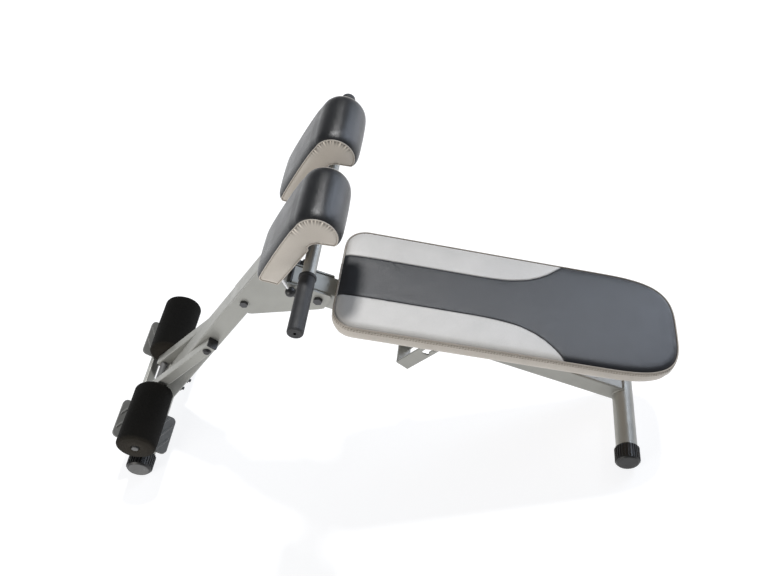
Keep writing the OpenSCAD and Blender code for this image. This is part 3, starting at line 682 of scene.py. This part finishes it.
# stitches on the dark side of the centre panel's seam
parts = []
seam_line, _ = resample(curve[curve[:, 1] < HALF_W], 300, closed=False)
t = np.gradient(seam_line, axis=0)
t /= np.linalg.norm(t, axis=1)[:, None]
inner = seam_line + np.stack([t[:, 1], -t[:, 0]], 1) * 0.0042
inner = inner[inner[:, 0] > 0.006]
for sgn in (-1, 1):
    plan = inner * (1, sgn)
    d = np.array([np.min(np.linalg.norm(loop - point, axis=1)) for point in plan])
    path = np.column_stack([plan, crowned(d)])[d > 0.005]
    parts.append(stitches(path, np.tile([0, 0, 1.0], (len(path), 1)), 0.0038, 0.0022, 0.00034, 0.0002,
                          closed=False))
trim("panel_stitches", join(parts), pad_frame, m_thread_dark, "backrest")

# staples that hold the folded vinyl under the board
parts = []
marks, _ = resample(loop - nrm * 0.0165, 62)
tang = np.roll(marks, -1, 0) - np.roll(marks, 1, 0)
tang /= np.linalg.norm(tang, axis=1)[:, None]
for k, (c, t) in enumerate(zip(marks, tang)):
    turn = 0.35 * math.sin(k * 2.3)
    co, si = math.cos(turn), math.sin(turn)
    d = np.array([t[0] * co - t[1] * si, t[0] * si + t[1] * co])
    line = [(*(c - d * 0.0052), 0.0004), (*(c - d * 0.0050), -0.0011), (*c, -0.0014),
            (*(c + d * 0.0050), -0.0011), (*(c + d * 0.0052), 0.0004)]
    parts.append(sweep(line, 0.0006, sides=6, up=(0.01, 0.02, 1)))
trim("bench_staples", join(parts), pad_frame, m_staple, "backrest")


# ---------------------------------------------------------------- thigh pads
THIGH_HALF = 0.071
GAP_HALF = 0.038       # half the gap between the two pads
BOARD_H0 = 0.023       # underside of the pads' boards
THIGH_T = 0.048
FOOT_S = 0.751
NOSE = np.array([0.929, 0.035])
NOSE_R = 0.043
PITCH = 0.0082         # from one gather to the next


def arc(c, r, a0, a1, n):
    t = np.radians(np.linspace(a0, a1, n + 1))
    return [(c[0] + r * math.cos(x), c[1] + r * math.sin(x)) for x in t]


def thigh_outline():
    """Side view of a thigh pad: flat underneath, with a round nose that turns down at its upper end."""
    fh = BOARD_H0 + 0.0003
    pts = arc((FOOT_S + 0.014, fh + 0.009), 0.009, 270, 190, 8)
    pts += arc((FOOT_S + 0.011, fh + THIGH_T - 0.016), 0.013, 175, 100, 8)
    for k in range(1, 12):
        u = k / 12
        pts.append((FOOT_S + 0.013 + 0.155 * u, fh + THIGH_T - 0.0023 + 0.010 * (1 - (1 - u) ** 1.7)))
    pts += arc(NOSE, NOSE_R, 95, 0, 20)
    pts += arc(NOSE - (0.008, 0), NOSE_R + 0.008, -5, -81, 18)
    pts += arc(NOSE + (-0.004, -0.041), 0.009, -95, -150, 5)
    pts += arc((NOSE[0] - 0.037, fh - 0.015), 0.015, 12, 90, 8)
    return np.array(pts)


prof, prof_len = resample(anticlockwise(thigh_outline()), 520)
prof = smooth_loop(prof, 6)
pn = out_normals(prof)
along = np.arange(len(prof)) / len(prof) * prof_len
# share of gathering: full round the nose, none along the straight part
gather = np.clip((prof[:, 0] - 0.893) / 0.02, 0, 1) * np.clip((prof[:, 1] - 0.004) / 0.012, 0, 1)
gather = smooth_loop(gather[:, None], 12)[:, 0]
foot_gather = np.exp(-((prof[:, 0] - FOOT_S) / 0.012) ** 2) * np.clip((prof[:, 1] - 0.05) / 0.01, 0, 1)
wob = 0.35 * np.sin(along * 210 + 1.0) + 0.25 * np.sin(along * 467 + 2.2)
folds = (0.5 + 0.5 * np.cos(2 * math.pi * along / PITCH + wob * 1.6)) ** 1.6
amp = 0.75 + 0.35 * np.sin(along * 330 + 0.7)
under = np.clip((BOARD_H0 + 0.004 - prof[:, 1]) / 0.004, 0, 1) * (prof[:, 0] < 0.886)
# how far the seam sits inside the outline: the wrap rolls over the edge before it is sewn
seam_in = smooth_loop((0.0070 * (1 - 0.75 * under))[:, None], 6)[:, 0]


def fill_panel(edge, pitch=0.0018):
    """Triangles inside a closed outline, with the distance of each point to it and where it is nearest."""
    ab = np.roll(edge, -1, 0) - edge

    def nearest(q):
        best, at = np.full(len(q), 1e9), np.zeros(len(q))
        for k in range(len(edge)):
            t = np.clip(((q - edge[k]) @ ab[k]) / (ab[k] @ ab[k]), 0, 1)
            dist = np.linalg.norm(q - (edge[k] + t[:, None] * ab[k]), axis=1)
            at = np.where(dist < best, k + t, at)
            best = np.minimum(best, dist)
        return best, at

    x, y = edge[:, 0], edge[:, 1]
    edge_n = out_normals(edge)
    cand = []
    for d in (0.0008, 0.0017, 0.0028):
        q = edge - edge_n * d
        cand.append(q[nearest(q)[0] > 0.9 * d][::1 if d < 0.002 else 2])
    gx, gy = np.meshgrid(np.arange(x.min(), x.max(), pitch), np.arange(y.min(), y.max(), pitch * 0.866))
    gx = gx + (np.arange(gx.shape[0]) % 2)[:, None] * pitch / 2
    q = np.column_stack([gx.ravel(), gy.ravel()])
    inside = np.zeros(len(q), bool)
    for k in range(len(edge)):
        x1, y1, x2, y2 = x[k], y[k], x[(k + 1) % len(x)], y[(k + 1) % len(x)]
        hit = (y1 > q[:, 1]) != (y2 > q[:, 1])
        if y1 != y2:
            inside ^= hit & (q[:, 0] < x1 + (q[:, 1] - y1) * (x2 - x1) / (y2 - y1))
    q = q[inside]
    cand.append(q[nearest(q)[0] > 0.0040])
    pts = np.vstack([edge] + cand)
    loop_edges = [(k, (k + 1) % len(edge)) for k in range(len(edge))]
    points, _, faces, *_ = delaunay_2d_cdt([Vector(v) for v in pts.tolist()], loop_edges, [], 1, 1e-6)
    out = np.array([(v.x, v.y) for v in points])
    dist, at = nearest(out)
    return out, [tuple(f) for f in faces], dist, at


panel = fill_panel(prof - pn * (seam_in - 0.0002)[:, None])


def round_loop(values, at):
    """Values given per outline point, read at places between the points."""
    return np.interp(at, np.arange(len(values) + 1), np.append(values, values[0]))


def thigh_pad(name, node, mid_y, shift):
    """Black wrap over the top and ends, light panels on both sides, gathered round the nose."""
    half = THIGH_HALF
    place = post_frame @ Matrix.Translation((0, mid_y, 0))
    rows, dark = [], []
    fold = np.roll(folds, shift)
    # wrap, from one seam to the other
    cols = [0, 0.25, 0.5, 0.64, 0.72, 0.79, 0.85, 0.90, 0.94, 0.968, 0.988, 1]
    cols = [-c for c in cols[:0:-1]] + cols
    for c in cols:
        y = c * (half - 0.0018)
        edge = max(0.0, (abs(y) - (half - 0.026)) / 0.0242)
        inset = 1 - math.sqrt(max(0.0, 1 - min(edge, 1) ** 2))
        crown = 0.0022 * (1 - (y / half) ** 2)
        near_seam = math.exp(-(half - abs(y)) / 0.005)
        pucker = -0.0007 * fold * amp * gather * near_seam
        off = crown * (1 - under) - inset * seam_in + pucker
        xz = prof + pn * off[:, None]
        rows.append(np.column_stack([xz[:, 0], np.full(len(prof), y), xz[:, 1]]))
        # painted shade: the wrap is drawn darker on its puckers next to the seam round the nose, darkest in
        # the furrows
        dark.append(-gather * near_seam * (0.25 + 0.75 * fold))
    all_v, all_f, pucker_shading = [np.vstack(rows)], grid_faces(len(rows), len(prof)), [np.concatenate(dark)]
    mats = [0] * len(all_f)
    base = len(all_v[0])
    # side panels: swollen a little, and puckered where the seam turns round the nose
    pts, tris, d, where = panel
    g = round_loop(gather + 0.5 * foot_gather, where)
    ridge = round_loop(fold * amp, where)
    decay = np.exp(-d / 0.0048) * np.clip(d / 0.0006, 0, 1)
    rise = 0.0023 * (ridge - 0.30) * g * decay
    swell = 0.0046 * (1 - np.exp(-d / 0.0045)) + 0.0012 * (1 - np.exp(-d / 0.016))
    # painted shade in the side panels' furrows and a painted highlight on their ridges, near the seam round
    # the nose
    pucker_shade_and_highlight = np.clip((ridge - 0.40) * 2.6, -1, 1) * g * np.exp(-(d / 0.0068) ** 1.5)
    for sgn in (-1, 1):
        all_v.append(np.column_stack([pts[:, 0], sgn * (half - 0.0032 + swell + rise), pts[:, 1]]))
        all_f += [tuple(base + k for k in (t if sgn < 0 else t[::-1])) for t in tris]
        mats += [1] * len(tris)
        pucker_shading.append(pucker_shade_and_highlight)
        base += len(pts)
    o = make(name, np.vstack(all_v), all_f, place, [m_black_vinyl, m_side_vinyl], face_mats=mats,
             attrs={"pucker": np.concatenate(pucker_shading)})
    mend(o, merge=2e-5)
    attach(o, "thigh_support")
    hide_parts(node)
    # thin welt in the seam, on both sides
    parts = []
    for sgn in (-1, 1):
        line = prof - pn * (seam_in - 0.0006)[:, None]
        path = np.column_stack([line[:, 0], np.full(len(prof), sgn * (half - 0.0018)), line[:, 1]])
        parts.append(sweep(path, 0.0012, closed=True, sides=8, up=(0, 1, 0)))
    trim(name + "_welt", join(parts), place, m_side_vinyl, "thigh_support")


thigh_pad("thigh_cushion_near", "thigh_pad_near", -(GAP_HALF + THIGH_HALF), 3)
thigh_pad("thigh_cushion_far", "thigh_pad_far", GAP_HALF + THIGH_HALF, 12)


# ---------------------------------------------------------------- foam rollers
FOAM_BORE = 0.0082
FOAM_EDGE = 0.0085     # radius of a roller's rounded edge


def roller(name, node, body, phase):
    """Foam roller, slightly uneven round and along, with soft edges and a sunk bore."""
    lo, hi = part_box(node)
    r, half = (hi.z - lo.z) / 2, (hi.y - lo.y) / 2
    end_line = [(FOAM_BORE, half - 0.006), (FOAM_BORE + 0.0015, half - 0.0016),
                (FOAM_BORE + 0.004, half - 0.0004), (r * 0.45, half + 0.0003), (r * 0.7, half),
                (r - FOAM_EDGE - 0.003, half - 0.0006)]
    for t in np.radians(np.arange(0, 91, 10)):
        end_line.append((r - FOAM_EDGE * (1 - math.sin(t)), half - FOAM_EDGE * (1 - math.cos(t)) - 0.0006))
    outside = [(r, y) for y in np.linspace(half - 0.014, -half + 0.014, 34)]
    line = end_line + outside + [(rad, -y) for rad, y in reversed(end_line)]
    sides = 160
    V = []
    for rad, y in line:
        for t in 2 * math.pi * np.arange(sides) / sides:
            wave = 0.00035 * math.sin(2 * t + phase + 20 * y) + 0.00025 * math.sin(5 * t + 45 * y + phase)
            rr = rad + (wave if rad > r * 0.9 else 0)
            V.append((rr * math.cos(t), y, rr * math.sin(t)))
    last = (len(line) - 1) * sides
    F = grid_faces(len(line), sides)
    F += [(last + k, last + (k + 1) % sides, (k + 1) % sides, k) for k in range(sides)]
    end = np.repeat([max(0.0, min(1.0, (abs(y) - half + 0.009) / 0.008)) * (1.15 - 0.6 * rad / r)
                     for rad, y in line], sides)
    o = make(name, V, F, Matrix.Translation((lo + hi) / 2), [m_foam], attrs={"end": end})
    mend(o)
    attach(o, body)
    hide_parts(node)


roller("foam_roller_near", "roller_near", "near_roller", 3.9)
roller("foam_roller_far", "roller_far", "far_roller", 1.3)


# ---------------------------------------------------------------- welds
def bead(name, paths, body, matrix, radius=0.0021):
    """Weld bead: overlapping ripples along each path."""
    parts = []
    for p in paths:
        length = np.sum(np.linalg.norm(np.diff(np.asarray(p), axis=0), axis=1))
        q, _ = resample(p, max(8, int(length / 0.0006)), closed=False)
        s = np.linspace(0, length, len(q))
        saw = (s / 0.0024) % 1.0
        r = radius * (0.86 + 0.20 * np.sqrt(np.clip(1 - (2 * saw - 1) ** 2, 0, 1)))
        r *= 1 + 0.07 * np.sin(s * 260)
        ends = np.clip(np.minimum(s, length - s) / 0.003, 0.25, 1)
        parts.append(sweep(q, r * ends, sides=10))
    trim(name, join(parts), matrix, m_paint, body)


FLOOR_TUBE_R = 0.0254
BEAD_R = FLOOR_TUBE_R + 0.0004
REAR_TUBE_S = 0.780             # the rear floor tube, along the long tube
LONG_HALF_W, LONG_HALF_H = 0.025, 0.024
POST_HALF_W, POST_HALF_H = 0.026, 0.023
POST_DROP = 0.0065              # the front floor tube's centre, below the post's
RAIL_S = (0.790, 0.845)         # the two pad rails, along the post


def on_rear(y, h):
    """A point where the long tube's outline meets the rear floor tube."""
    return (REAR_TUBE_S - math.sqrt(BEAD_R ** 2 - h * h), y, h)


rear = [on_rear(-LONG_HALF_W, h) for h in np.linspace(-0.022, 0.020, 14)]
rear += [on_rear(-LONG_HALF_W + 0.0015, 0.0232)]
rear += [on_rear(y, LONG_HALF_H) for y in np.linspace(-LONG_HALF_W + 0.004, LONG_HALF_W - 0.004, 12)]
rear += [on_rear(LONG_HALF_W - 0.0015, 0.0232)]
rear += [on_rear(LONG_HALF_W, h) for h in np.linspace(0.020, -0.022, 14)]
bead("rear_weld", [rear], "bench_frame", tube_frame)

front = []
for sgn in (-1, 1):
    front.append([(BEAD_R * math.cos(t), sgn * (POST_HALF_W + 0.0002), BEAD_R * math.sin(t) - POST_DROP)
                  for t in np.radians(np.linspace(-38, 95, 24))])
under_x = (FLOOR_TUBE_R + 0.0006) * math.cos(math.radians(-40))
front.append([(under_x, y, -POST_HALF_H - 0.0003)
              for y in np.linspace(-POST_HALF_W + 0.002, POST_HALF_W - 0.002, 12)])
bead("front_weld", front, "base_frame", post_frame)

rails = []
for s in RAIL_S:
    for y in (-0.0221, 0.0221):
        rails.append([(s + x, y, 0.0190) for x in np.linspace(-0.013, 0.013, 6)])
bead("rail_weld", rails, "thigh_support", post_frame, 0.0016)


# ---------------------------------------------------------------- cap end faces
def cap_face(name, node, body, mat):
    """Thin disc on the flat end of a rubber cap, in the given material: a light grey painted highlight on the
    front caps, the plain dark rubber on the rear ones.
    """
    lo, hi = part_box(node)
    out = 1 if hi.y > 0 else -1
    y = hi.y if out > 0 else lo.y
    cx, r = (lo.x + hi.x) / 2, (hi.x - lo.x) / 2
    cz = hi.z - r
    line = [(0.0, 0.00055), (r * 0.3, 0.0006), (r * 0.6, 0.0005), (r - 0.0088, 0.0003),
            (r - 0.0066, 0.0001), (r - 0.0060, -0.0006)]
    sides = 72
    V = []
    for rad, h in line:
        for k in range(sides):
            t = 2 * math.pi * k / sides
            V.append((cx + rad * math.cos(t), y + out * h, cz + rad * math.sin(t)))
    o = make(name, V, grid_faces(len(line), sides), None, [mat])
    mend(o, merge=1e-6)
    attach(o, body)


for end, body, mat in (("front", "base_frame", m_cap_face_lit), ("rear", "bench_frame", m_cap_back)):
    for side in ("near", "far"):
        cap_face(f"{end}_cap_face_{side}", f"{end}_cap_{side}", body, mat)


# ---------------------------------------------------------------- floor, light, camera
def floor_mat():
    """White studio floor, bright enough of itself to look white and still take a faint shadow."""
    m, nt, b = new_mat("floor_white")
    n = Net(nt)
    cloud = n.ramp(n.noise(3, 3), 0.3, 0.7)
    n.put(b.inputs["Base Color"], n.mix(cloud, (0.29, 0.29, 0.29), (0.31, 0.31, 0.31)))
    b.inputs["Roughness"].default_value = 0.9
    b.inputs["Specular IOR Level"].default_value = 0.1
    b.inputs["Emission Color"].default_value = (0.98, 0.985, 1.0, 1)
    b.inputs["Emission Strength"].default_value = 0.84
    return m


floor = make("floor", [(-30, -30, 0), (30, -30, 0), (30, 30, 0), (-30, 30, 0)], [(0, 1, 2, 3)], None,
             [floor_mat()], smooth=False)

world = bpy.data.worlds.new("studio")
scene.world = world
world.use_nodes = True
world.node_tree.nodes["Background"].inputs["Color"].default_value = (0.94, 0.97, 1.0, 1)
world.node_tree.nodes["Background"].inputs["Strength"].default_value = 0.23


def area(name, where, aim, size, power, color):
    """Rectangular light at a place, aimed at a point."""
    d = bpy.data.lights.new(name, "AREA")
    d.shape = "RECTANGLE"
    d.size, d.size_y = size
    d.energy = power
    d.color = color
    o = bpy.data.objects.new(name, d)
    scene.collection.objects.link(o)
    o.location = where
    o.rotation_mode = "QUATERNION"
    o.rotation_quaternion = (Vector(aim) - Vector(where)).to_track_quat("-Z", "Y")


sun_data = bpy.data.lights.new("key", "SUN")
sun_data.energy = 2.4
sun_data.angle = math.radians(5)
sun = bpy.data.objects.new("key", sun_data)
scene.collection.objects.link(sun)
sun.rotation_mode = "QUATERNION"
sun.rotation_quaternion = Vector((0.11, 0.50, 1.0)).to_track_quat("Z", "Y")
area("back", (2.05, 1.75, 2.05), (0.5, 0.0, 0.3), (1.3, 1.1), 30, (0.76, 0.85, 1.0))
area("side", (2.7, 2.3, 0.75), (-0.1, 0.0, 0.6), (1.3, 1.5), 22, (0.78, 0.85, 1.0))
area("fill", (-1.9, -2.2, 1.3), (0.0, 0.0, 0.35), (1.7, 1.3), 36, (1.0, 0.965, 0.92))

cam_data = bpy.data.cameras.new("camera")
cam = bpy.data.objects.new("camera", cam_data)
scene.collection.objects.link(cam)
scene.camera = cam
cam_data.sensor_fit = "HORIZONTAL"
cam_data.sensor_width = 36
cam_data.lens = 43.515
cam_data.shift_x = -0.1793
cam_data.shift_y = -0.0927
cam_data.clip_start = 0.05
cam_data.clip_end = 100
# the solved camera's own axes and its place
right = Vector((0.99922523, 0.00807179, -0.03851985))
up = Vector((0.02174131, 0.70263577, 0.71121747))
back = Vector((0.03280623, -0.71150391, 0.7019159))
view = Matrix((right, up, back)).transposed().to_4x4()
view.translation = Vector((0.376287, -1.337450, 1.948680))
cam.matrix_world = view

scene.view_settings.view_transform = "Standard"
scene.view_settings.look = "None"
